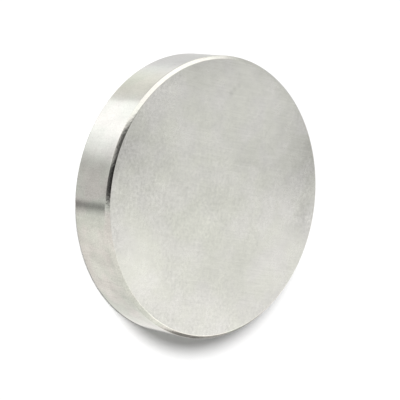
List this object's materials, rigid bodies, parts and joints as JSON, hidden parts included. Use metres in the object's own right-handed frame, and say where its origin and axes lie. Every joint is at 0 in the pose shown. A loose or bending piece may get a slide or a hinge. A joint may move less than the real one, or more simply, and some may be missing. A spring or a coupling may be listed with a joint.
{
  "type": "disc magnet",
  "caption": "Flat round disc magnet with a satin nickel-plated face, a smooth straight rim and a narrow chamfer round both faces.",
  "frame": {"origin": "centre of the lower face, which the disc rests on", "axes": "+Z is the disc's axis and its magnetised direction, from the lower face to the upper face; +X and +Y lie in the lower face, and the disc is the same all the way round"},
  "size_m": [0.055, 0.055, 0.01],
  "materials": {
    "nickel_plating": "satin nickel plating, smoother on the rim and on the chamfers"
  },
  "bodies": {
    "root": {"magnet_disc": "nickel_plating"}
  },
  "joints": []
}
